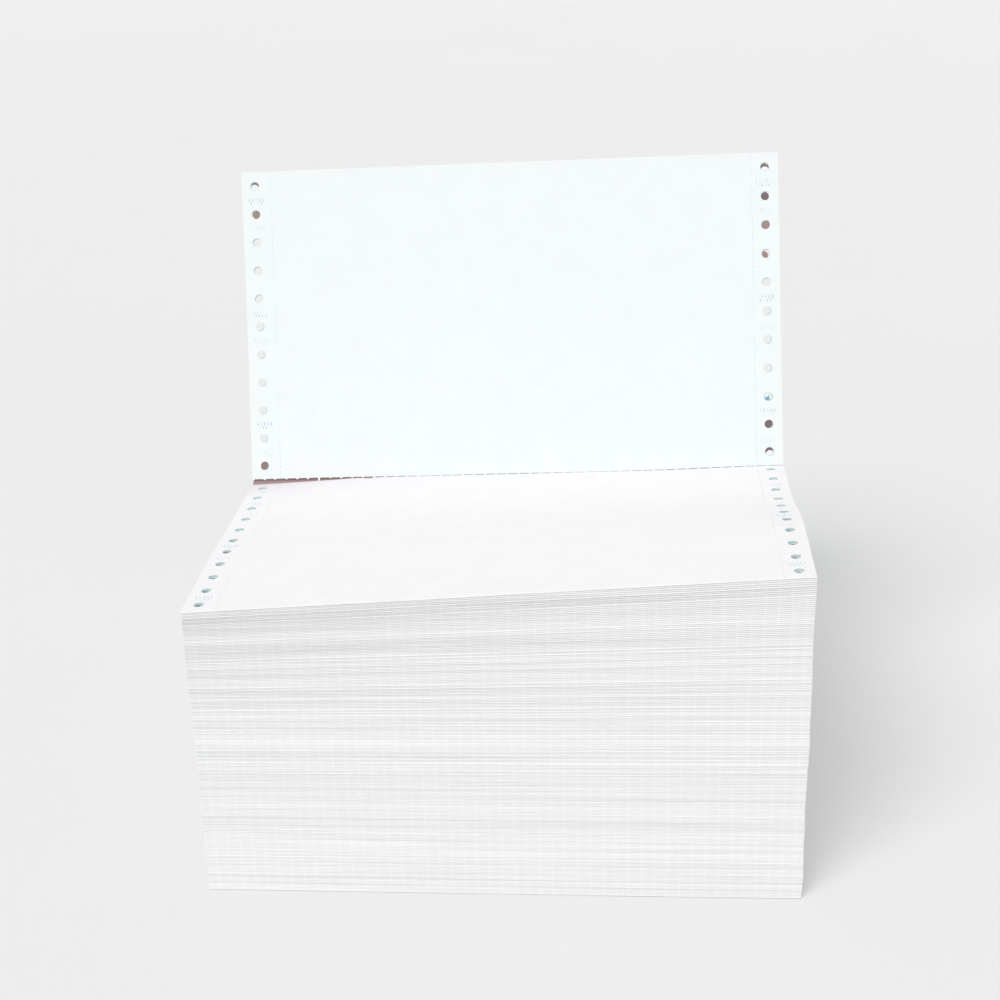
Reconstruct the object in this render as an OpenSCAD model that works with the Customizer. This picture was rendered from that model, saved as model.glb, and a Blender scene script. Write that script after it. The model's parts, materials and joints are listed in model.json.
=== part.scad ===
// Fan-folded stack of continuous form paper: one web of crimped plies, folded to and fro into a
// block, with the free first form bent up at its cross perforation.
// Origin: middle of the flat bottom. +Z up, +X to the reader's right, -Y towards the reader.

/* [Web] */
// Width of the web, over both feed strips
web_w = 241.3; // [150:0.1:380]
// Length of a leaf, from one fold to the next
leaf_len = 279.4; // [254:25.4:355.6]
// Plies that lie together in one leaf
plies = 5; // [2:1:6]
// Thickness of one ply
ply_t = 0.0645; // [0.055:0.0005:0.1]

/* [Feed holes] */
// Diameter of a feed hole
hole_d = 4; // [3:0.1:5]
// Distance from one feed hole to the next
hole_pitch = 12.7; // [10:0.1:25.4]
// Distance from the web's edge to the middle of the holes
hole_inset = 6; // [4:0.1:12]

/* [Stack] */
// Leaves in the stack, two to each front fold
leaves = 400; // [60:2:500]
// How far a fold stands out past the flat of its leaves
fold_reach = 0.35; // [0.1:0.05:0.4]
// Sideways slope of the loose top, in degrees, right side up
top_tilt = 2.05; // [0:0.05:3]
// How far the loose front folds stand up, halfway across the web
front_lift = 5.75; // [0:0.25:12]
// How much more they stand up at the right edge
front_lift_side = 3.8; // [0:0.1:6]
// How far the loose back folds stand up
back_lift = 4; // [0:0.25:12]
// Level stretch on each side of the middle, before the folds' rise
level_len = 30; // [10:1:50]
// Length over which the top rises towards its folds
rise_len = 66; // [20:1:80]

/* [Raised form] */
// Angle by which the raised form leans back from upright
lean = 18.7; // [0:0.1:40]
// Sideways slope of its crease, in degrees, right end up
crease_roll = 1.44; // [0:0.02:2]
// Distance from the crease at which the web lies flat again
crease_reach = 12; // [4:1:20]
// Length of the burst stretch of the perforation, from the left edge
burst_len = 52; // [5:1:120]

/* [Hidden] */
$fn = 48;
half_w = web_w / 2;
form_len = leaf_len / 2;
leaf_t = plies * ply_t;
flat_y = form_len - fold_reach;
burst_x = -half_w + burst_len;
holes_per_form = floor(form_len / hole_pitch + 0.001);
paper_white = [0.95, 0.975, 0.98];
// Only the upper leaves are loose: a power of the leaf's share of the height
looseness = 3;
// Steps of the curved stretch of the top
rise_steps = 6;
over = 5;

// Smooth step from 0 to 1
function ease(t) = let (c = max(0, min(1, t))) c * c * (3 - 2 * c);

// How far the top of the stack stands over its middle height, at one place
function lift(x, y) =
    let (rise = ease((abs(y) - level_len) / rise_len))
    let (ends = y < 0 ? front_lift + front_lift_side * x / half_w : back_lift)
    let (held = x < burst_x ? 0 : 1 - ease(abs(y) / crease_reach))
    x * tan(top_tilt) * (1 - held) + x * tan(crease_roll) * held + ends * rise;

// Height of the upper side of leaf number i, counted from the bottom
function leaf_z(i, x, y) = i * leaf_t + lift(x, y) * pow(i / leaves, looseness);

// Places along Y at which the top changes its slope, from the fold's flat to the crease
top_ys = concat(
    [flat_y],
    [for (k = [rise_steps : -1 : 0]) if (level_len + rise_len * k / rise_steps < flat_y)
        level_len + rise_len * k / rise_steps],
    [crease_reach, crease_reach / 2, 0]);

// Outline of the stack in the YZ plane, at one place across the web
function outline(x) = concat(
    [for (i = [0 : 2 : leaves - 2]) each [
        [-flat_y, leaf_z(i, x, -form_len)],
        [-form_len, leaf_z(i + 1, x, -form_len)]]],
    [for (y = top_ys) [-y, leaf_z(leaves, x, -y)]],
    [for (k = [len(top_ys) - 1 : -1 : 0]) [top_ys[k], leaf_z(leaves - 1, x, top_ys[k])]],
    [for (i = [leaves - 2 : -2 : 2]) each [
        [form_len, leaf_z(i, x, form_len)],
        [flat_y, leaf_z(i - 1, x, form_len)]]],
    [[flat_y, 0]]);

// The folded leaves as one body, lofted through outlines at the left edge, the end of the burst
// stretch and the right edge, and closed at each side edge by triangles around a middle point,
// which lies off the crease so that none of them is flat
module folded_leaves() {
    stations = [-half_w, burst_x, half_w];
    rings = [for (x = stations) [for (p = outline(x)) [x, p[0], p[1]]]];
    n = len(rings[0]);
    last = n * (len(stations) - 1);
    middles = [for (x = [-half_w, half_w]) [x, -crease_reach, leaves * leaf_t / 2]];
    mid = n * len(stations);
    polyhedron(
        points = concat([for (ring = rings) each ring], middles),
        faces = concat(
            [for (k = [0 : n - 1]) [mid, (k + 1) % n, k]],
            [for (k = [0 : n - 1]) [mid + 1, last + k, last + (k + 1) % n]],
            [for (s = [0 : len(stations) - 2], k = [0 : n - 1]) each
                let (a = s * n + k, b = s * n + (k + 1) % n) [[a, b, a + n], [b, b + n, a + n]]]),
        convexity = 10);
}

// One row of feed holes, up one side of one form, from the crease
module hole_row(h) {
    for (side = [-1, 1], k = [0 : holes_per_form - 1])
        translate([side * (half_w - hole_inset), (k + 0.5) * hole_pitch, 0])
            cylinder(d = hole_d, h = h);
}

// The free form, standing on its crease: joined right of the burst stretch, free left of it
module raised_form() {
    sheet = [
        [-half_w, 0], [burst_x, 0], [burst_x, -leaf_t],
        [half_w, -leaf_t], [half_w, form_len], [-half_w, form_len]];
    translate([0, 0, leaves * leaf_t])
        rotate([0, -crease_roll, 0])
            rotate([-lean, 0, 0])
                translate([0, leaf_t / 2, 0])
                    rotate([90, 0, 0])
                        difference() {
                            linear_extrude(leaf_t) polygon(sheet);
                            translate([0, 0, -over]) hole_row(2 * over);
                        }
}

module folded_web() {
    well_h = leaf_z(leaves, half_w, -form_len) + 2 * over;
    color(paper_white) {
        difference() {
            folded_leaves();
            for (turn = [0, 180])
                translate([0, 0, -over]) rotate([0, 0, turn]) hole_row(well_h);
        }
        raised_form();
    }
}

folded_web();
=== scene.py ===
# Continuous form paper: a fan-folded stack of five-ply forms with its first form bent upright.
# Lengths are in millimetres until a piece is finished, when its mesh is scaled to metres.
import itertools
import json
import math
import random

import bmesh
import bpy
from mathutils import Matrix, Vector, noise


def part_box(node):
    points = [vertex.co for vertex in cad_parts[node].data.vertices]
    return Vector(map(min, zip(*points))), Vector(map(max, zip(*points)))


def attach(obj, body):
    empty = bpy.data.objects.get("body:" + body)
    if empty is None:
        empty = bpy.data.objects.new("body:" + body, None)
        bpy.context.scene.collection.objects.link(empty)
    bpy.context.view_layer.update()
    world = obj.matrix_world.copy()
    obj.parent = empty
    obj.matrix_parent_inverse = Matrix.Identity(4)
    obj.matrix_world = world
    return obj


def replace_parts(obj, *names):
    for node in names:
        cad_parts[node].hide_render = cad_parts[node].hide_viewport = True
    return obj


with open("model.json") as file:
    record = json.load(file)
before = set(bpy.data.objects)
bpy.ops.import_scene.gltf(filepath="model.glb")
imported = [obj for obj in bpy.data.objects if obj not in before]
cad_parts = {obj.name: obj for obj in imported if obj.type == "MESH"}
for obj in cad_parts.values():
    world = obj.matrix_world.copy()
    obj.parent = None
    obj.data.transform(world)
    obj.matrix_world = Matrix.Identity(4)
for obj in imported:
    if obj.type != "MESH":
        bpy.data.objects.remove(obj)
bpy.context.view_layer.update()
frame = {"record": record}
rng = random.Random(941)

MM = 0.001
NODE = "folded_web"

# The web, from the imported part: its feed holes give the width, and the node's box the leaf
feed_holes = next(m for m in frame["record"]["mounts"] if m["name"] == "feed_holes")
HOLE_INSET = 6.0
HOLE_PITCH = 12.7
HOLE_R = feed_holes["dims"]["hole_r_mm"]
HOLE_ROW_X = feed_holes["dims"]["spacing_x_mm"] / 2
HALF_W = HOLE_ROW_X + HOLE_INSET
node_low, node_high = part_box(NODE)
FORM_LEN = (node_high[1] - node_low[1]) / 2 / MM
HOLES_PER_FORM = round(FORM_LEN / HOLE_PITCH)

# The feed strips' perforations, which lie a little to the right on the web: the pitch of their cuts,
# and the cuts' share of it and width
MARGIN_X, MARGIN_SHIFT = HALF_W - 12.5, 0.7
MARGIN_PITCH, MARGIN_CUT_SHARE, MARGIN_CUT_W = 2.4, 0.62, 0.28

# The stack and its loose top, as in the part's source
LEAVES = 400
PLY_COUNT, PLY_T = 5, 0.0645
LEAF_T = PLY_COUNT * PLY_T
TOP_LEVEL = LEAVES - 1
STACK_H = LEAVES * LEAF_T
FOLD_REACH = 0.35
FLAT_Y = FORM_LEN - FOLD_REACH
TOP_TILT = math.radians(2.05)
FRONT_LIFT, FRONT_LIFT_SIDE, BACK_LIFT = 5.75, 3.8, 4.0
LEVEL_LEN, RISE_LEN = 30.0, 66.0
LOOSENESS = 3
CREASE_ROLL = math.radians(1.44)
CREASE_REACH = 12.0
BURST_LEN = 52.0
LEAN = math.radians(18.7)

# How much more the crease's right end stands up, from where and over what length along the crease, and
# how far that reaches over the stack and up the raised form
CORNER_LIFT, CORNER_START, CORNER_RUN = 1.0, 55.0, 65.0
STACK_REACH, FORM_REACH = 150.0, 35.0
# How far the lying form sags at the burst stretch's open end
BURST_SAG = 0.8

# The raised form's curve: it bows back halfway up, more so on the left, and above its straight crease
# its middle comes forward of its sides
BACK_BOW, LEFT_BOW = 0.62, 0.77
FORWARD_BOW, STRAIGHT_RUN = 0.41, 20.0

# Cross perforation: five ties to the inch, 1 mm wide, and the middle of the first from the left edge
TIE_PITCH, TIE_W, FIRST_TIE = 5.08, 1.0, 0.55

# Each leaf's own stray at its folds and along its sides
FOLD_STRAY, SIDE_STRAY = 0.10, 0.07
front_steps = [rng.gauss(0.0, FOLD_STRAY) for _ in range(LEAVES + 1)]
back_steps = [rng.gauss(0.0, FOLD_STRAY) for _ in range(LEAVES + 1)]
side_steps = [rng.gauss(0.0, SIDE_STRAY) for _ in range(LEAVES + 1)]
# Smooth stray along each fold and side, and of the folds and sides from leaf to leaf
FOLD_RIPPLE, SIDE_RIPPLE = 0.22, 0.10
FOLD_DRIFT, SIDE_DRIFT = 0.30, 0.45
# How much deeper the grooves between the loose upper leaves are
LOOSE_GROOVE = 0.35
# Length of the paper that turns round the front fold, and the steps it is built in
WRAP_LEN, WRAP_STEPS = 0.5, 4


def ease(t):
    t = max(0.0, min(1.0, t))
    return t * t * (3.0 - 2.0 * t)


def corner_lift(x, y, reach):
    """How much more the right end of the crease stands up, and how that fades away from it."""
    return CORNER_LIFT * ease((x - CORNER_START) / CORNER_RUN) * (1 - ease(abs(y) / reach))


def lift(x, y):
    """How far the top of the stack stands over its middle height."""
    rise = ease((abs(y) - LEVEL_LEN) / RISE_LEN)
    ends = FRONT_LIFT + FRONT_LIFT_SIDE * x / HALF_W if y < 0 else BACK_LIFT
    joined = max(0.0, min(1.0, (x + HALF_W) / BURST_LEN))
    held = joined * (1.0 - ease(abs(y) / CREASE_REACH))
    sunk = BURST_SAG * (1.0 - joined ** 2) * (1.0 - ease(abs(y) / (2 * CREASE_REACH)))
    slope = math.tan(TOP_TILT) * (1.0 - held) + math.tan(CREASE_ROLL) * held
    return x * slope + ends * rise - sunk + corner_lift(x, y, STACK_REACH)


def leaf_z(level, x, y):
    """Height of a leaf's upper side: the leaf numbers run up from 1 at the bottom."""
    return level * LEAF_T + lift(x, y) * (level / LEAVES) ** LOOSENESS


# The raised form's own axes: across it, up it, and out of its face towards the reader
ACROSS = Vector((math.cos(CREASE_ROLL), 0, math.sin(CREASE_ROLL)))
UP = Vector((
    -math.cos(LEAN) * math.sin(CREASE_ROLL),
    math.sin(LEAN),
    math.cos(LEAN) * math.cos(CREASE_ROLL),
))
OUT = ACROSS.cross(UP)


def stray(*place):
    """Smooth randomness between -1 and 1."""
    return noise.noise(Vector(place))


def fold_y(x, level, side):
    """How far the flat of a leaf's fold lies off its place, at the front (-1) or the back (1)."""
    ripple = FOLD_RIPPLE * stray(x * 0.018, level * 0.11, 4.6 + 3.3 * side)
    drift = FOLD_DRIFT * stray(level * 0.05, 7.3 - 1.8 * side, 0.0)
    return side * (FLAT_Y + ripple + drift)


def raised_point(u, v, h):
    """A point of the raised form: u across, v up from the crease, h out from its back."""
    side, share = u / HALF_W, v / FORM_LEN
    belly = 4 * share * (1 - share)
    forward = FORWARD_BOW * (1 - side * side) * ease(v / STRAIGHT_RUN)
    bow = BACK_BOW * belly - forward - LEFT_BOW * side * belly
    foot = Vector((0, 0, STACK_H + corner_lift(u, v, FORM_REACH)))
    return foot + ACROSS * u + UP * v + OUT * (h - LEAF_T / 2 - bow)


def lying_point(u, v, h):
    """A point of the lying form: v runs back from the front fold, below 0, and h up from its underside."""
    front = fold_y(u, TOP_LEVEL, -1)
    y = v + (front + FLAT_Y) * ease(-v / FLAT_Y)
    if v >= -FLAT_Y:
        return Vector((u, y, leaf_z(TOP_LEVEL, u, v) + h))
    turn = min(1.0, (-FLAT_Y - v) / WRAP_LEN) * math.pi / 2
    reach = (FOLD_REACH + front_steps[TOP_LEVEL]) * h / LEAF_T
    base = leaf_z(TOP_LEVEL, u, -FLAT_Y)
    return Vector((u, front - reach * math.sin(turn), base + h * math.cos(turn)))


def hole_rows(sign):
    """Middles of the feed holes up both sides of one form, on the crease's front or back side."""
    steps = [(k + 0.5) * HOLE_PITCH * sign for k in range(HOLES_PER_FORM)]
    return [(side * HOLE_ROW_X, v) for side in (-1, 1) for v in steps]


# Lines of the forms' grids: half a square cell on each side of the feed holes, even steps between the
# feed strips, and a line on each side of the crease
CELL = 3.2
INNER_X, INNER_STEP = 96, 12
CREASE_LINE = 0.3
EDGE_XS = (HALF_W, HOLE_ROW_X + CELL, HOLE_ROW_X - CELL, MARGIN_X)
US = sorted([-x for x in EDGE_XS] + list(range(-INNER_X, INNER_X + 1, INNER_STEP)) + list(EDGE_XS))
# Width of the ring of faces that is set into a cell, before its inner edge is rounded to the hole
COLLAR = 0.4


def cell_lines(sign):
    """Lines along a form that leave a square cell around each feed hole."""
    middles = {v for _, v in hole_rows(sign)}
    return sorted(v + d for v in middles for d in (-CELL, CELL))


def spread(verts, columns, rows, place):
    """Moves the vertices of a new unit grid to their places, which are given by column and row."""
    for vert in verts:
        column = round((vert.co.x + 0.5) * (columns - 1))
        row = round((vert.co.y + 0.5) * (rows - 1))
        vert.co = place(column, row)


def unit_grid(bm, columns, rows):
    """Adds a flat grid of so many lines each way, 1 across, and gives its vertices."""
    grown = bmesh.ops.create_grid(bm, x_segments=columns - 1, y_segments=rows - 1, size=0.5)
    return grown["verts"]


def punched_sheet(us, vs, holes, cuts, middles=None):
    """A flat grid on the given lines with its feed holes punched, off their own cells if middles says so.

    Its layers keep each vertex's place on the web, and the number of the hole whose rim it is on."""
    bm = bmesh.new()
    across, along = (bm.verts.layers.float.new(name) for name in ("across", "along"))
    rim = bm.verts.layers.int.new("rim")
    spread(unit_grid(bm, len(us), len(vs)), len(us), len(vs), lambda i, j: (us[i], vs[j], 0))
    cells = {tuple(round(c, 2) for c in face.calc_center_median().xy): face for face in bm.faces}
    inner = [cells[(round(u, 2), round(v, 2))] for u, v in holes]
    bmesh.ops.bisect_edges(bm, edges=[edge for face in inner for edge in face.edges], cuts=cuts)
    bmesh.ops.inset_individual(bm, faces=inner, thickness=COLLAR, use_even_offset=True)
    for number, (face, (u, v), (mid_u, mid_v)) in enumerate(zip(inner, holes, middles or holes), start=1):
        for vert in face.verts:
            angle = math.atan2(vert.co.y - v, vert.co.x - u)
            vert.co.x = mid_u + HOLE_R * math.cos(angle)
            vert.co.y = mid_v + HOLE_R * math.sin(angle)
            vert[rim] = number
    bmesh.ops.delete(bm, geom=inner, context="FACES_ONLY")
    for vert in bm.verts:
        vert[across], vert[along] = vert.co.x, vert.co.y
    return bm


def strip(bm, rows):
    """A narrow sheet through rows of points, one row after another."""
    spread(unit_grid(bm, len(rows[0]), len(rows)), len(rows[0]), len(rows), lambda i, j: rows[j][i])


def add_mesh(bm, other):
    """Moves one bmesh's faces into another."""
    scratch = bpy.data.meshes.new("scratch")
    other.to_mesh(scratch)
    other.free()
    bm.from_mesh(scratch)
    bpy.data.meshes.remove(scratch)


def new_verts(grown):
    return [g for g in grown if isinstance(g, bmesh.types.BMVert)]


def new_faces(grown):
    return [g for g in grown if isinstance(g, bmesh.types.BMFace)]


def open_edges(grown):
    return [g for g in grown if isinstance(g, bmesh.types.BMEdge) and g.is_boundary]


def finish_piece(bm, name, materials, smooth=True):
    """Scales a mesh to metres, makes its object, and lets it ride on the part."""
    bmesh.ops.transform(bm, matrix=Matrix.Scale(MM, 4), verts=bm.verts)
    for edge in bm.edges:
        edge.smooth = not edge.is_boundary
    mesh = bpy.data.meshes.new(name)
    bm.to_mesh(mesh)
    bm.free()
    piece = bpy.data.objects.new(name, mesh)
    bpy.context.scene.collection.objects.link(piece)
    for material in materials:
        mesh.materials.append(material)
    for polygon in mesh.polygons:
        polygon.use_smooth = smooth
    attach(piece, "root")
    return piece


def add_thickness(piece, thickness):
    solid = piece.modifiers.new("thickness", "SOLIDIFY")
    solid.thickness = thickness * MM
    solid.offset = 0.0


# Colours

WHITE = (0.888, 0.930, 0.934)
PINK = (0.930, 0.580, 0.660)
YELLOW = (0.960, 0.880, 0.520)
GREEN = (0.600, 0.840, 0.660)
BLUE = (0.340, 0.690, 0.850)
# The white ply where it lies, and where it turns round the front folds
LYING_WHITE = (0.950, 0.940, 0.955)
FOLD_WHITE = (0.935, 0.950, 0.950)
# The pink ply with painted shade: in the burst slit, deeper in the crease's cuts, and behind the holes,
# where the chads are painted in lighter and deeper shade
PAINTED_SHADE_BURST_PINK = (0.465, 0.320, 0.332)
# Painted shade: the pink ply deep in the crease's cuts
PAINTED_CREASE_SHADE_PINK = (0.28, 0.19, 0.20)
LIT_CHAD, SHADED_CHAD = (0.400, 0.270, 0.245), (0.235, 0.155, 0.157)
# The lower plies' blue in the crimp locks, and the pink in the cuts along the folds
CRIMP_BLUE = (0.36, 0.60, 0.76)
FOLD_CUT_PINK = (0.80, 0.66, 0.66)
# Painted reflection of the pink ply in the burst slit, a darker pink on the lying form beside it, and its
# reach across and along
PAINTED_PINK_REFLECTION, PAINTED_REFLECTION_REACH = (0.845, 0.790, 0.825), (95.0, 20.0)
# Level that the colours of cut edges and folds pale towards
PALE = 0.93


def shade(colour, factor):
    return tuple(c * factor for c in colour)


def paled(colour, share):
    return tuple(c + (PALE - c) * share for c in colour)


# Materials

class Finish:
    """A Principled material and short calls that add its nodes."""

    def __init__(self, name, roughness, specular=0.3):
        self.material = bpy.data.materials.new(name)
        self.material.use_nodes = True
        self.nodes, self.links = self.material.node_tree.nodes, self.material.node_tree.links
        self.nodes.clear()
        self.shader = self.nodes.new("ShaderNodeBsdfPrincipled")
        out = self.nodes.new("ShaderNodeOutputMaterial")
        self.links.new(self.shader.outputs["BSDF"], out.inputs["Surface"])
        self.shader.inputs["Roughness"].default_value = roughness
        self.shader.inputs["Specular IOR Level"].default_value = specular
        self.place = self.nodes.new("ShaderNodeTexCoord").outputs["Object"]

    def put(self, socket, value):
        if isinstance(value, bpy.types.NodeSocket):
            self.links.new(value, socket)
        else:
            socket.default_value = value

    def maths(self, operation, *values):
        node = self.nodes.new("ShaderNodeMath")
        node.operation = operation
        for socket, value in zip(node.inputs, values):
            self.put(socket, value)
        return node.outputs[0]

    def clamped(self, operation, *values):
        result = self.maths(operation, *values)
        result.node.use_clamp = True
        return result

    def attribute(self, name):
        node = self.nodes.new("ShaderNodeAttribute")
        node.attribute_name = name
        return node.outputs["Fac"]

    def noise(self, scale, detail=3.0, stretch=None):
        node = self.nodes.new("ShaderNodeTexNoise")
        node.inputs["Scale"].default_value = scale
        node.inputs["Detail"].default_value = detail
        node.inputs["Roughness"].default_value = 0.55
        source = self.place
        if stretch:
            mapping = self.nodes.new("ShaderNodeMapping")
            mapping.inputs["Scale"].default_value = stretch
            self.links.new(source, mapping.inputs["Vector"])
            source = mapping.outputs["Vector"]
        self.links.new(source, node.inputs["Vector"])
        return node.outputs["Fac"]

    def ramp(self, value, stops, interpolation="LINEAR"):
        node = self.nodes.new("ShaderNodeValToRGB")
        node.color_ramp.interpolation = interpolation
        elements = node.color_ramp.elements
        elements[0].position, elements[1].position = stops[0][0], stops[-1][0]
        for position, _ in stops[1:-1]:
            elements.new(position)
        for element, (_, colour) in zip(elements, stops):
            element.color = (*colour, 1.0)
        self.put(node.inputs["Fac"], value)
        return node.outputs["Color"]

    def mix(self, share, first, second, blend="MIX"):
        node = self.nodes.new("ShaderNodeMix")
        node.data_type, node.blend_type = "RGBA", blend
        self.put(node.inputs["Factor"], share)
        for socket, value in ((node.inputs["A"], first), (node.inputs["B"], second)):
            self.put(socket, (*value, 1.0) if isinstance(value, tuple) else value)
        return node.outputs["Result"]

    def done(self, colour, relief, depth, strength):
        """Colours the shader, and roughens it by the relief, whose depth is in metres."""
        bump = self.nodes.new("ShaderNodeBump")
        bump.inputs["Strength"].default_value = strength
        bump.inputs["Distance"].default_value = depth
        self.links.new(relief, bump.inputs["Height"])
        self.links.new(bump.outputs["Normal"], self.shader.inputs["Normal"])
        self.links.new(colour, self.shader.inputs["Base Color"])
        return self.material


FIBRE_SCALE = 2600.0


def cloudy(f, tone, colour):
    """A paper colour that is a little darker in the clouds of its formation."""
    return f.ramp(tone, [(0.45, shade(colour, 0.975)), (0.85, colour)])


def add_painted_reflection(f, base, lying):
    """Paints the burst slit's pink reflection onto the lying form, which is where the given share is 1."""
    reach_across, reach_along = PAINTED_REFLECTION_REACH
    near = f.clamped("MULTIPLY_ADD", f.attribute("along"), 1 / reach_along, 1.0)
    left = f.clamped("MULTIPLY_ADD", f.attribute("across"), -1 / reach_across, 1 - HALF_W / reach_across)
    painted_reflection = f.maths("MULTIPLY", f.maths("MULTIPLY", near, left), lying)
    return f.mix(f.maths("MULTIPLY", painted_reflection, 0.9), base, PAINTED_PINK_REFLECTION)


def margin_cuts(f):
    """1 in the cuts of the feed strips' perforations."""
    from_middle = f.maths("ABSOLUTE", f.maths("SUBTRACT", f.attribute("across"), MARGIN_SHIFT))
    from_margin = f.maths("ABSOLUTE", f.maths("SUBTRACT", from_middle, MARGIN_X))
    on_line = f.maths("LESS_THAN", from_margin, MARGIN_CUT_W / 2)
    step = f.maths("FRACT", f.maths("DIVIDE", f.attribute("along"), MARGIN_PITCH))
    return f.maths("MULTIPLY", on_line, f.maths("LESS_THAN", step, MARGIN_CUT_SHARE))


def sheet_paper(name, colour, lying_tint=None, painted_crease_shade=None):
    """Uncoated paper with cloudy formation, fibres and the fine perforation of the feed strips."""
    f = Finish(name, roughness=0.82)
    clouds = f.noise(90.0, detail=4.0)
    fibres = f.noise(FIBRE_SCALE, detail=2.0)
    tone = f.maths("MULTIPLY_ADD", fibres, 0.35, clouds)
    base = cloudy(f, tone, colour)
    if lying_tint:
        lying = f.maths("LESS_THAN", f.attribute("along"), 0.0)
        # The lying form's tint, with a painted pink reflection beside the burst slit
        base = add_painted_reflection(f, f.mix(lying, base, cloudy(f, tone, lying_tint)), lying)
    # Painted shade: the pink ply darkens where it dips into the crease's cuts
    if painted_crease_shade:
        at_crease = f.maths("LESS_THAN", f.maths("ABSOLUTE", f.attribute("along")), CREASE_LINE + 0.25)
        base = f.mix(at_crease, base, painted_crease_shade)
    cut = margin_cuts(f)
    faint, strong = (0.14, 0.14, 0.14), (0.42, 0.42, 0.42)
    patchy = f.ramp(f.noise(60.0, detail=1.0), [(0.40, faint), (0.62, strong)])
    base = f.mix(f.maths("MULTIPLY", cut, patchy), base, shade(BLUE, 0.85))
    relief = f.maths("SUBTRACT", f.maths("MULTIPLY", fibres, 0.4), cut)
    return f.done(base, relief, 0.00004, 0.6)


def ply_edges(name, paleness):
    """Cut edges of the leaves: five thin plies each, turned over from leaf to leaf."""
    f = Finish(name, roughness=0.9, specular=0.2)
    share = f.maths("PINGPONG", f.attribute("leaf"), 1.0)
    stops = [(k / PLY_COUNT, paled(colour, paleness)) for k, colour in enumerate(PLY_COLOURS.values())]
    stripes = f.ramp(share, stops, "CONSTANT")
    leaf_noise = f.noise(1.0, detail=2.0, stretch=(7.0, 7.0, 1500.0))
    fine = f.noise(1800.0, detail=2.0)
    tone = f.ramp(leaf_noise, [(0.34, (0.82, 0.825, 0.83)), (0.60, (1.0, 1.0, 1.0))])
    base = f.mix(0.55, stripes, tone, "MULTIPLY")
    return f.done(base, f.maths("ADD", leaf_noise, f.maths("MULTIPLY", fine, 0.3)), 0.00012, 0.7)


def fold_paper(name, colour, tips):
    """Outer side of the folds, whose tips are at the odd or even leaf boundaries, with the cuts and ties
    of the cross perforation along each tip."""
    f = Finish(name, roughness=0.85, specular=0.25)
    axes = f.nodes.new("ShaderNodeSeparateXYZ")
    f.links.new(f.place, axes.inputs["Vector"])
    step = f.maths("FRACT", f.maths("DIVIDE", axes.outputs["X"], TIE_PITCH * MM))
    is_cut = f.maths("GREATER_THAN", step, TIE_W / TIE_PITCH)
    tip = f.maths("PINGPONG", f.attribute("leaf"), 1.0)
    if tips == "even":
        tip = f.maths("SUBTRACT", 1.0, tip)
    cut = f.maths("MULTIPLY", f.maths("GREATER_THAN", tip, 0.72), is_cut)
    long_noise = f.noise(1.0, detail=2.0, stretch=(9.0, 60.0, 1500.0))
    fine = f.noise(1500.0, detail=2.0)
    base = f.ramp(long_noise, [(0.34, shade(colour, 0.94)), (0.60, colour)])
    base = f.mix(f.maths("MULTIPLY", cut, 0.26), base, FOLD_CUT_PINK)
    return f.done(base, f.maths("SUBTRACT", f.maths("MULTIPLY", fine, 0.3), cut), 0.00006, 0.6)


def crimp_finish():
    """The lower plies' blue shows in the tongues, the more the harder they are pressed."""
    f = Finish("crimped_paper", roughness=0.8)
    grain = f.noise(1500.0)
    blueness = f.maths("MULTIPLY_ADD", grain, 0.3, f.attribute("pressed"))
    base = f.ramp(blueness, [(0.15, shade(WHITE, 0.98)), (1.1, CRIMP_BLUE)])
    return f.done(base, grain, 0.00003, 0.5)


def chad_finish():
    """The pink ply's paper behind the holes, darker the more a chad is in the shade."""
    f = Finish("shaded_pink_paper", roughness=0.85)
    base = f.ramp(f.attribute("shaded"), [(0.0, LIT_CHAD), (1.0, SHADED_CHAD)])
    return f.done(base, f.noise(FIBRE_SCALE, detail=2.0), 0.00003, 0.5)


PLY_COLOURS = {"white": WHITE, "pink": PINK, "yellow": YELLOW, "green": GREEN, "blue": BLUE}
# The pink ply's colour at the crease is painted shade
LYING_TINTS, PAINTED_CREASE_SHADES = {"white": LYING_WHITE}, {"pink": PAINTED_CREASE_SHADE_PINK}
ply_papers = {
    name: sheet_paper(name + "_ply_paper", colour, LYING_TINTS.get(name), PAINTED_CREASE_SHADES.get(name))
    for name, colour in PLY_COLOURS.items()
}
# The pink ply with the burst slit's shade painted into its colour
painted_shade_burst_paper = sheet_paper("painted_shade_burst_pink_paper", PAINTED_SHADE_BURST_PINK)
edge_paper = ply_edges("cut_leaf_edges", paleness=0.60)
well_paper = ply_edges("punched_leaf_edges", paleness=0.15)
front_fold_paper = fold_paper("white_fold_paper", FOLD_WHITE, "odd")
back_fold_paper = fold_paper("blue_fold_paper", paled(BLUE, 0.45), "even")
crimp_paper = crimp_finish()
chad_paper = chad_finish()


# The folded leaves under the first one

YS = [-FORM_LEN] + cell_lines(-1) + [-CREASE_LINE, 0, CREASE_LINE] + cell_lines(1) + [FORM_LEN]
TOUCH = 0.01
# How far apart points of a seam may lie when the pile's parts are joined
SEAM_GAP = 0.004


def on_edge(place, edge):
    """Whether a place lies on the leaf's edge at that distance from its middle."""
    return abs(place - edge) < TOUCH


def pile_shift(level):
    """How far a leaf lies off the middle, to one side."""
    return SIDE_DRIFT * stray(level * 0.021, 4.7, 0.0) + side_steps[level]


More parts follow.
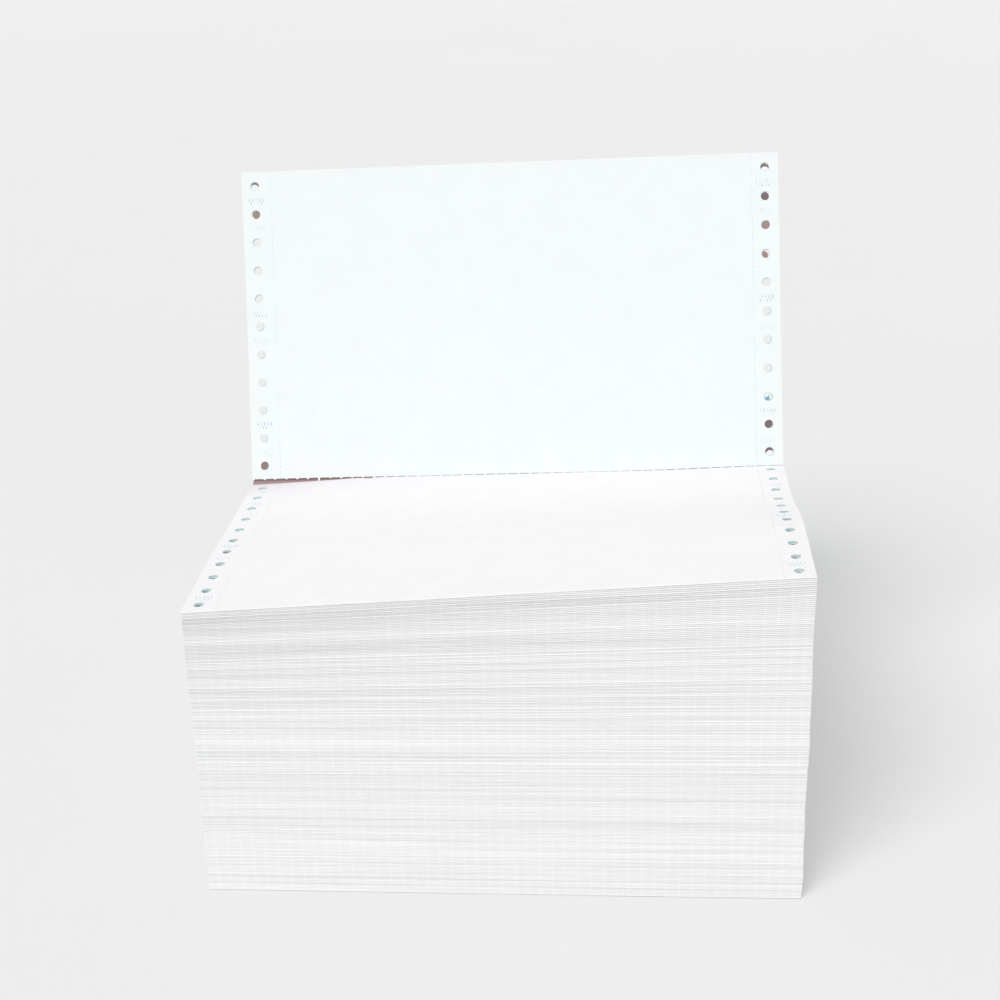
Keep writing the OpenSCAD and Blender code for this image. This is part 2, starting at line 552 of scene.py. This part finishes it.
def pile_point(x, y, level):
    """A point of the pile on the boundary between two leaves, given where it is on a square leaf."""
    groove = LOOSE_GROOVE * (level / LEAVES) ** LOOSENESS
    place = Vector((x, y, leaf_z(level, x, y)))
    if on_edge(y, -FORM_LEN):
        place.y = fold_y(x, level, -1)
        place.y -= FOLD_REACH + front_steps[level] if level % 2 else -groove
    elif on_edge(y, FORM_LEN):
        place.y = fold_y(x, level, 1)
        place.y += FOLD_REACH + back_steps[level] if level and not level % 2 else -groove
    if on_edge(abs(x), HALF_W):
        place.x += pile_shift(level) + SIDE_RIPPLE * stray(y * 0.03, level * 0.4, 2.2)
    return place


FRONT, BACK, SIDE, TOP, BOTTOM, WELL = range(6)
# The second leaf's holes lie a little forward of the first's, so its blue side shows in them as a thin
# crescent, and the third leaf's lie further forward, so its white side shows in front of the blue
SECOND_SLIP = Vector((0.3, -1.0, 0.0))
THIRD_SLIP = Vector((-0.2, -3.0, 0.0))
# The third leaf's slip fades over the leaves under it, and is smaller further from the crease
SLIP_FADE, FAR_LESS, FAR_START, FAR_RUN = 20, 0.6, 45, 20
# Stray of the second leaf's holes, and of the loose leaves' holes down to some depth
SECOND_STRAY, LOOSE_STRAY, LOOSE_DEPTH = 0.35, 0.5, 120
# Levels of the well walls' rings: the third leaf's upper side starts just over its whole number
WELL_LEVELS = [TOP_LEVEL - under for under in (0.97, 1, 2, 3, 4, 6, 8, 11, 15, 22, 40, 90, 200, TOP_LEVEL)]


def well_slip(u, v, level):
    """How far a leaf's feed hole lies off its well's middle: the upper leaves are less well lined up."""
    under = TOP_LEVEL - level
    if under < 1:
        return SECOND_SLIP + SECOND_STRAY * Vector((stray(u, v, 5.1), stray(v, u, 8.7), 0))
    near = 1 - FAR_LESS * ease((abs(v) - FAR_START) / FAR_RUN)
    slip = THIRD_SLIP * max(0.0, 1 - (under - 1) / SLIP_FADE) * near
    loose = LOOSE_STRAY * max(0.0, 1 - under / LOOSE_DEPTH)
    return slip + loose * Vector((stray(u, v, level * 0.31), stray(v, level * 0.27, u), 0))


def pile_lid(level, holes, slot_number):
    """Upper or under side of the pile, with its feed holes punched."""
    bm = punched_sheet(US, YS, holes, 3)
    rim, leaf = bm.verts.layers.int["rim"], bm.verts.layers.float.new("leaf")
    for vert in bm.verts:
        vert[leaf] = level
        if vert[rim]:
            vert.co += well_slip(*holes[vert[rim] - 1], level)
        vert.co = pile_point(vert.co.x, vert.co.y, level)
    for face in bm.faces:
        face.material_index = slot_number
    return bm


def add_wells(bm, holes):
    """Runs the rims of the feed holes down through the pile to its underside."""
    rim, leaf = bm.verts.layers.int["rim"], bm.verts.layers.float["leaf"]
    edges = [edge for edge in bm.edges if edge.is_boundary and all(vert[rim] for vert in edge.verts)]
    before = TOP_LEVEL
    for level in WELL_LEVELS:
        grown = bmesh.ops.extrude_edge_only(bm, edges=edges)["geom"]
        for vert in new_verts(grown):
            hole = holes[vert[rim] - 1]
            vert.co += well_slip(*hole, level) - well_slip(*hole, before)
            vert.co.z = leaf_z(level, vert.co.x, vert.co.y)
            vert[leaf] = level
        for face in new_faces(grown):
            face.material_index = WELL
        edges, before = open_edges(grown), level


def add_sides(bm):
    """Raises the outline of the pile's underside leaf by leaf: its sides, and its folds at both ends."""
    across, along, leaf = (bm.verts.layers.float[name] for name in ("across", "along", "leaf"))
    rim = bm.verts.layers.int["rim"]
    edges = [edge for edge in bm.edges if edge.is_boundary and not any(vert[rim] for vert in edge.verts)]
    for level in range(1, TOP_LEVEL + 1):
        grown = bmesh.ops.extrude_edge_only(bm, edges=edges)["geom"]
        for vert in new_verts(grown):
            vert[leaf] = level
            vert.co = pile_point(vert[across], vert[along], level)
        for face in new_faces(grown):
            at_front = all(on_edge(vert[along], -FORM_LEN) for vert in face.verts)
            at_back = all(on_edge(vert[along], FORM_LEN) for vert in face.verts)
            face.material_index = FRONT if at_front else BACK if at_back else SIDE
        edges = open_edges(grown)


def folded_leaves():
    """Leaves 2 to 400, built up from the underside of the last one, with the wells through them."""
    holes = hole_rows(-1) + hole_rows(1)
    bm, top = pile_lid(0, holes, BOTTOM), pile_lid(TOP_LEVEL, holes, TOP)
    add_sides(bm)
    add_wells(top, holes)
    add_mesh(bm, top)
    bmesh.ops.remove_doubles(bm, verts=bm.verts, dist=SEAM_GAP)
    bmesh.ops.recalc_face_normals(bm, faces=bm.faces)
    lids = [ply_papers["blue"], ply_papers["white"]]
    materials = [front_fold_paper, back_fold_paper, edge_paper, *lids, well_paper]
    return finish_piece(bm, "folded_leaves", materials, smooth=False)


# The first leaf: five plies, lying in front of the crease and raised behind it

# Each ply's share of the slip between the plies' feed holes, from the top ply down
SLIP_SHARES = {"white": 0.0, "pink": 0.1, "yellow": 0.2, "green": 0.4, "blue": 1.0}
# Slip of the blue ply's holes: in the lying form, and in the lower and the upper half of the raised one
LYING_SLIP, LOW_SLIP, HIGH_SLIP = Vector((-0.2, -0.75)), Vector((-0.42, 0.2)), Vector((0.3, -0.38))
# Height of each ply's middle over the leaf's underside
PLY_HEIGHTS = {name: (PLY_COUNT - 0.5 - k) * PLY_T for k, name in enumerate(SLIP_SHARES)}
# Share of its thickness that a ply is drawn with, so that plies and chads stay apart
PLY_SHARE, CHAD_SHARE = 0.85, 0.8
WRAP_VS = [-FLAT_Y - WRAP_LEN * k / WRAP_STEPS for k in range(WRAP_STEPS, 0, -1)]

# How far the white ply's cuts gape on each side of the crease: everywhere, where it is slack, and more
# along the burst stretch, which fades over the run after it
GAPE, SLACK_GAPE, BURST_GAPE, BURST_FADE = 0.08, 0.13, 0.18, 36.0
# The crease is slackest here, and again one pitch on
SLACK_X, SLACK_PITCH = -8.0, 90.0
# Where the lower plies end: behind the burst stretch in the lying and the raised form, and elsewhere
LYING_END, RAISED_END, CLOSED_END, END_FADE = 0.35, 0.1, 0.04, 8.0


def torn(u, run):
    """1 along the burst stretch of the perforation, falling to 0 over the given run after it."""
    return 1 - ease((u + HALF_W - BURST_LEN) / run)


def cut_edge(u, name, sign):
    """Where a ply ends at the crease. The white one's cuts gape, most of all along its burst stretch."""
    if name == "white":
        slack = 0.5 + 0.5 * math.cos(2 * math.pi * (u - SLACK_X) / SLACK_PITCH)
        return sign * (GAPE + SLACK_GAPE * slack + BURST_GAPE * torn(u, BURST_FADE))
    behind = torn(u, END_FADE)
    return (LYING_END if sign < 0 else RAISED_END) * behind + sign * CLOSED_END * (1 - behind)


def ply_hole(u, v, share):
    """Where a ply's feed hole lies when the white ply's is at u, v."""
    slip = LYING_SLIP if v < 0 else LOW_SLIP.lerp(HIGH_SLIP, ease((v - FORM_LEN / 2) / HOLE_PITCH))
    return u + share * slip.x, v + share * slip.y


def leaf_ply(name):
    """One ply of the first leaf: the lying form and the raised one, parted by the cuts at the crease."""
    whole = bmesh.new()
    forms = (
        (lying_point, -1, WRAP_VS + [-FLAT_Y] + cell_lines(-1) + [-CREASE_LINE]),
        (raised_point, 1, [CREASE_LINE] + cell_lines(1) + [FORM_LEN]),
    )
    for place, sign, lines in forms:
        holes = hole_rows(sign)
        form = punched_sheet(US, lines, holes, 5, [ply_hole(u, v, SLIP_SHARES[name]) for u, v in holes])
        for vert in form.verts:
            u, v, _ = vert.co
            at_crease = abs(v) < 2 * CREASE_LINE
            vert.co = place(u, cut_edge(u, name, sign) if at_crease else v, PLY_HEIGHTS[name])
        add_mesh(whole, form)
    piece = finish_piece(whole, "first_leaf_" + name, [ply_papers[name]])
    add_thickness(piece, PLY_SHARE * PLY_T)


# Ties lie just over the white ply and lap it on each side of its cuts
TIE_RISE, TIE_LAP = 0.003, 0.3
# Torn ties: how far they lap the raised form, their lengths, how far they lean, and how they curl out
TOOTH_LAP, TOOTH_LENGTHS, TOOTH_SKEW, TOOTH_CURL = 0.2, (0.3, 0.65), 0.25, (0.05, 0.12)
# The one that still reaches across the burst slit
LONG_TOOTH, LONG_TOOTH_LEN = 6, 1.35


def whole_tie(us, gap, height):
    rows = [[raised_point(u, v, height) for u in us] for v in (gap + TIE_LAP, 0.6 * gap)]
    return rows + [[lying_point(u, v, height) for u in us] for v in (-0.6 * gap, -gap - TIE_LAP)]


def torn_tie(us, gap, height, length):
    """A tooth that hangs from the raised form, leaning to one side and narrower at its tip."""
    skew = rng.uniform(-TOOTH_SKEW, TOOTH_SKEW)
    tips = [0.6 * u + 0.4 * sum(us) / 2 + skew for u in us]
    return [
        [raised_point(u, gap + TOOTH_LAP, height) for u in us],
        [raised_point(u + 0.5 * skew, gap - 0.6 * length, height + TOOTH_CURL[0]) for u in us],
        [raised_point(tip, gap - length, height + TOOTH_CURL[1]) for tip in tips],
    ]


def crease_ties():
    """The paper left between the cuts of the cross perforation: whole ties, and torn ones at its burst."""
    bm = bmesh.new()
    height = PLY_HEIGHTS["white"] + TIE_RISE
    for k in range(int(2 * HALF_W / TIE_PITCH)):
        us = [-HALF_W + FIRST_TIE + k * TIE_PITCH + side * TIE_W / 2 for side in (-1, 1)]
        gap = cut_edge(us[0], "white", 1)
        if us[0] > -HALF_W + BURST_LEN:
            strip(bm, whole_tie(us, gap, height))
        else:
            length = LONG_TOOTH_LEN if k == LONG_TOOTH else rng.uniform(*TOOTH_LENGTHS)
            strip(bm, torn_tie(us, gap, height, length))
    bmesh.ops.recalc_face_normals(bm, faces=bm.faces)
    add_thickness(finish_piece(bm, "crease_ties", [ply_papers["white"]]), PLY_T)


# The lower plies bridge the burst slit: from this far up the raised form to this far down the lying one,
# a little inside the ply's own height there, and a little past the burst stretch
BRIDGE_UP, BRIDGE_DOWN, BRIDGE_PAST = 1.4, 1.0, 6.0
BRIDGE_INSET = (0.1, 0.02)
BRIDGE_STEPS, BRIDGE_ROWS = 14, 5
# How far a bridge is dented backwards and down at its middle, and how much further the blue one is
DENT_BACK, DENT_DOWN, BLUE_BEHIND = 1.1, 0.35, 0.15


def burst_bridge(ply, paper, behind):
    """A ply that still holds behind the burst stretch of the white one, sunk into the slit."""
    bm = bmesh.new()
    height = PLY_HEIGHTS[ply]
    us = [-HALF_W + 0.2 + (BURST_LEN + BRIDGE_PAST) * k / BRIDGE_STEPS for k in range(BRIDGE_STEPS + 1)]
    back = [raised_point(u, BRIDGE_UP, height - BRIDGE_INSET[0]) for u in us]
    front = [lying_point(u, -BRIDGE_DOWN, height - BRIDGE_INSET[1]) for u in us]
    rows = []
    for k in range(BRIDGE_ROWS + 1):
        share = k / BRIDGE_ROWS
        sunk = 4 * share * (1 - share)
        dent = Vector((0, (DENT_BACK + behind) * sunk, -DENT_DOWN * sunk))
        rows.append([b.lerp(f, share) + dent for b, f in zip(back, front)])
    strip(bm, rows)
    bmesh.ops.recalc_face_normals(bm, faces=bm.faces)
    add_thickness(finish_piece(bm, "burst_" + ply + "_ply", [paper]), PLY_T)


# Crimp locks: rows of tiny tongues between some of the feed holes, which hold the plies together

# A lock follows the first two holes of every four, and the second of the two is pressed less
CRIMP_PERIOD, CRIMP_PRESS = 4, (1.0, 0.4)
CRIMP_DROP = 6.9
# Rows of tongues: how many, how far down from the lock's middle, how long, and their inset
CRIMP_ROWS = ((5, -0.6, 1.6, 3.4), (4, 1.0, 1.1, 4.2))
TONGUE_PITCH, TONGUE_W, TONGUE_CHAMFER = 1.55, 0.36, 0.11
# A tongue's foot lies in the white ply, and its top stands over it by so much, and more if pressed hard
TONGUE_FOOT, TONGUE_TOP, TONGUE_PRESSED = 0.03, 0.04, 0.09
TONGUE_STRAY = 0.12
SAME_POINT = 0.0005


def crimp_places():
    """Places of the crimp locks, from the raised form's upper edge down, and how hard each is pressed."""
    places = []
    for k in range(2 * HOLES_PER_FORM):
        if k % CRIMP_PERIOD < len(CRIMP_PRESS):
            v = FORM_LEN - (k + 0.5) * HOLE_PITCH - CRIMP_DROP
            places.append((v, CRIMP_PRESS[k % CRIMP_PERIOD]))
    return places


def add_tongue(bm, place, length, force):
    """A short chamfered ridge, pressed up through the white ply, at the place of its middle."""
    pressed = bm.verts.layers.float["pressed"]
    height = PLY_HEIGHTS["white"] + PLY_T / 2
    top = unit_grid(bm, 2, 2)
    foot = new_verts(bmesh.ops.extrude_edge_only(bm, edges=list(top[0].link_faces[0].edges))["geom"])
    levels = (
        (foot, 0, height - TONGUE_FOOT),
        (top, TONGUE_CHAMFER, height + TONGUE_TOP + TONGUE_PRESSED * force),
    )
    for verts, chamfer, h in levels:
        for vert in verts:
            du = math.copysign(TONGUE_W / 2 - chamfer, vert.co.x)
            dv = math.copysign(length / 2 - chamfer, vert.co.y)
            vert.co = place(du, dv, h)
            vert[pressed] = force


def crimp_locks():
    """Both sides' locks, each of two rows of tongues. Past the front fold's turn, points fall together."""
    bm = bmesh.new()
    bm.verts.layers.float.new("pressed")
    for v, press in crimp_places():
        form_point = raised_point if v > 0 else lying_point
        for side, (count, down, length, inset) in itertools.product((-1, 1), CRIMP_ROWS):
            for column in range(count):
                u = side * (HALF_W - inset - TONGUE_PITCH * column)
                w = v - down + rng.uniform(-TONGUE_STRAY, TONGUE_STRAY)
                force = press * rng.uniform(0.1, 1.0)
                add_tongue(bm, lambda du, dv, h: form_point(u + du, w + dv, h), length, force)
    bmesh.ops.remove_doubles(bm, verts=bm.verts, dist=SAME_POINT)
    bmesh.ops.recalc_face_normals(bm, faces=bm.faces)
    finish_piece(bm, "crimp_locks", [crimp_paper], smooth=False)


# Chads that still hang behind the raised form's holes: the side, the hole from the top, the ply, how far
# the chad has slipped across and up, and how much it is in the shade
CHADS = (
    (-1, 1, "pink", 0.0, 0.0, 0.6), (-1, 1, "white", -0.1, -1.2, 0.0),
    (-1, 2, "pink", 0.4, -0.1, 0.0), (-1, 11, "pink", 0.0, 0.0, 0.5),
    (1, 1, "pink", 0.0, -0.4, 0.8), (1, 1, "white", 0.1, -1.8, 0.0),
    (1, 2, "pink", -0.2, -0.3, 1.0), (1, 3, "pink", 0.0, 0.0, 0.0),
    (1, 4, "pink", -1.0, -0.9, 0.0), (1, 9, "white", -1.7, 1.5, 0.0),
    (1, 10, "pink", 0.0, 0.0, 1.0),
    (1, 11, "pink", 0.0, 0.0, 1.0), (1, 11, "white", 0.2, -1.3, 0.0),
)
# Depth of each ply's chads behind the sheet, their radius as a share of a hole's, and their tilt
CHAD_DEPTHS = {"white": 0.08, "pink": 0.20}
CHAD_FIT, CHAD_TILT = 0.97, 0.03


def chads(ply, paper):
    """One ply's chads: discs a little smaller than the holes, each tilted its own way."""
    bm = bmesh.new()
    shaded = bm.verts.layers.float.new("shaded")
    for side, row, name, across, up, shade_share in CHADS:
        tilt_u, tilt_v = (rng.uniform(-CHAD_TILT, CHAD_TILT) for _ in range(2))
        if name != ply:
            continue
        u, v = side * HOLE_ROW_X + across, FORM_LEN - (row - 0.5) * HOLE_PITCH + up
        disc = bmesh.ops.create_circle(bm, cap_ends=True, segments=20, radius=CHAD_FIT * HOLE_R)
        for vert in disc["verts"]:
            du, dv = vert.co.x, vert.co.y
            depth = CHAD_DEPTHS[ply] + tilt_u * du + tilt_v * dv
            vert.co = raised_point(u + du, v + dv, -depth)
            vert[shaded] = shade_share
    bmesh.ops.recalc_face_normals(bm, faces=bm.faces)
    add_thickness(finish_piece(bm, "hanging_" + ply + "_chads", [paper]), CHAD_SHARE * PLY_T)


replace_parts(folded_leaves(), NODE)
for ply_name in PLY_HEIGHTS:
    leaf_ply(ply_name)
crease_ties()
# The pink bridge wears the pink ply with painted shade
burst_bridge("pink", painted_shade_burst_paper, 0.0)
burst_bridge("blue", ply_papers["blue"], BLUE_BEHIND)
crimp_locks()
chads("white", ply_papers["white"])
chads("pink", chad_paper)


# Floor, lights and camera, in metres and pixels

# The floor is level over its radius, and then rises as a dome of even steps, so that no horizon shows
FLOOR_R, DOME_R = 3.0, 3.0
DOME_STEP, DOME_STEPS = math.radians(9), 8


def floor_rings():
    """Radius and height of each ring of the floor, from the level part's edge up."""
    turns = [DOME_STEP * k for k in range(DOME_STEPS + 1)]
    return [(FLOOR_R + DOME_R * math.sin(turn), DOME_R - DOME_R * math.cos(turn)) for turn in turns]


def floor_paint():
    f = Finish("floor_paint", roughness=0.7)
    base = f.ramp(f.noise(3.0), [(0.3, (0.86, 0.86, 0.86)), (0.7, (0.87, 0.87, 0.87))])
    f.links.new(base, f.shader.inputs["Base Color"])
    return f.material


def studio_floor():
    bm = bmesh.new()
    bmesh.ops.create_circle(bm, cap_ends=True, segments=96, radius=FLOOR_R)
    edges = [edge for edge in bm.edges if edge.is_boundary]
    for radius, height in floor_rings()[1:]:
        grown = bmesh.ops.extrude_edge_only(bm, edges=edges)["geom"]
        for vert in new_verts(grown):
            vert.co = (*(vert.co.xy.normalized() * radius), height)
        edges = open_edges(grown)
    bmesh.ops.recalc_face_normals(bm, faces=bm.faces)
    mesh = bpy.data.meshes.new("floor")
    bm.to_mesh(mesh)
    bm.free()
    for polygon in mesh.polygons:
        polygon.use_smooth = True
    mesh.materials.append(floor_paint())
    floor = bpy.data.objects.new("floor", mesh)
    bpy.context.scene.collection.objects.link(floor)


WORLD_COLOUR, WORLD_STRENGTH = (1.0, 0.998, 0.995, 1.0), 0.68
SUN_STRENGTH, SUN_SPREAD, SUN_DIRECTION = 1.22, math.radians(30), Vector((0.33, 0.56, -0.76))


def studio_light():
    world = bpy.data.worlds.new("studio")
    world.use_nodes = True
    world.node_tree.nodes["Background"].inputs["Color"].default_value = WORLD_COLOUR
    world.node_tree.nodes["Background"].inputs["Strength"].default_value = WORLD_STRENGTH
    bpy.context.scene.world = world
    bpy.context.scene.view_settings.view_transform = "Standard"
    light = bpy.data.lights.new("key_light", "SUN")
    light.energy, light.angle = SUN_STRENGTH, SUN_SPREAD
    lamp = bpy.data.objects.new("key_light", light)
    lamp.rotation_euler = SUN_DIRECTION.to_track_quat("-Z", "Y").to_euler()
    bpy.context.scene.collection.objects.link(lamp)


# The photograph's camera, solved from the raised form's corners and holes: its place from the crease's
# middle in millimetres, its turns in degrees, and its focal length and centre in the photograph's pixels
CAMERA_FROM_CREASE = Vector((48.5, -719.8, 282.7))
CAMERA_TURNS = (4.05, -22.54, -0.03)
FOCAL_PX, CENTRE_PX, FRAME_PX = 1139.0, (501.2, 506.4), 1000.0
SENSOR_W = 36.0
# How much closer the render is cropped than the photograph, which also holds the things left out
CROP = 1.5


def camera():
    turns = [Matrix.Rotation(math.radians(a), 3, axis) for a, axis in zip(CAMERA_TURNS, "ZXY")]
    turn = turns[2] @ turns[1] @ turns[0]
    right, ahead, up = turn.col[0], turn.col[1], turn.col[2]
    data = bpy.data.cameras.new("camera")
    data.sensor_width = SENSOR_W
    data.lens = FOCAL_PX * CROP / FRAME_PX * SENSOR_W
    data.shift_x = (FRAME_PX / 2 - CENTRE_PX[0]) / FRAME_PX
    data.shift_y = (CENTRE_PX[1] - FRAME_PX / 2) / FRAME_PX
    data.clip_start = 0.05
    view = bpy.data.objects.new("camera", data)
    bpy.context.scene.collection.objects.link(view)
    place = (CAMERA_FROM_CREASE + Vector((0, 0, STACK_H))) * MM
    axes = Matrix((right, up, -ahead)).transposed().to_4x4()
    view.matrix_world = Matrix.Translation(place) @ axes
    bpy.context.scene.camera = view


studio_floor()
studio_light()
camera()
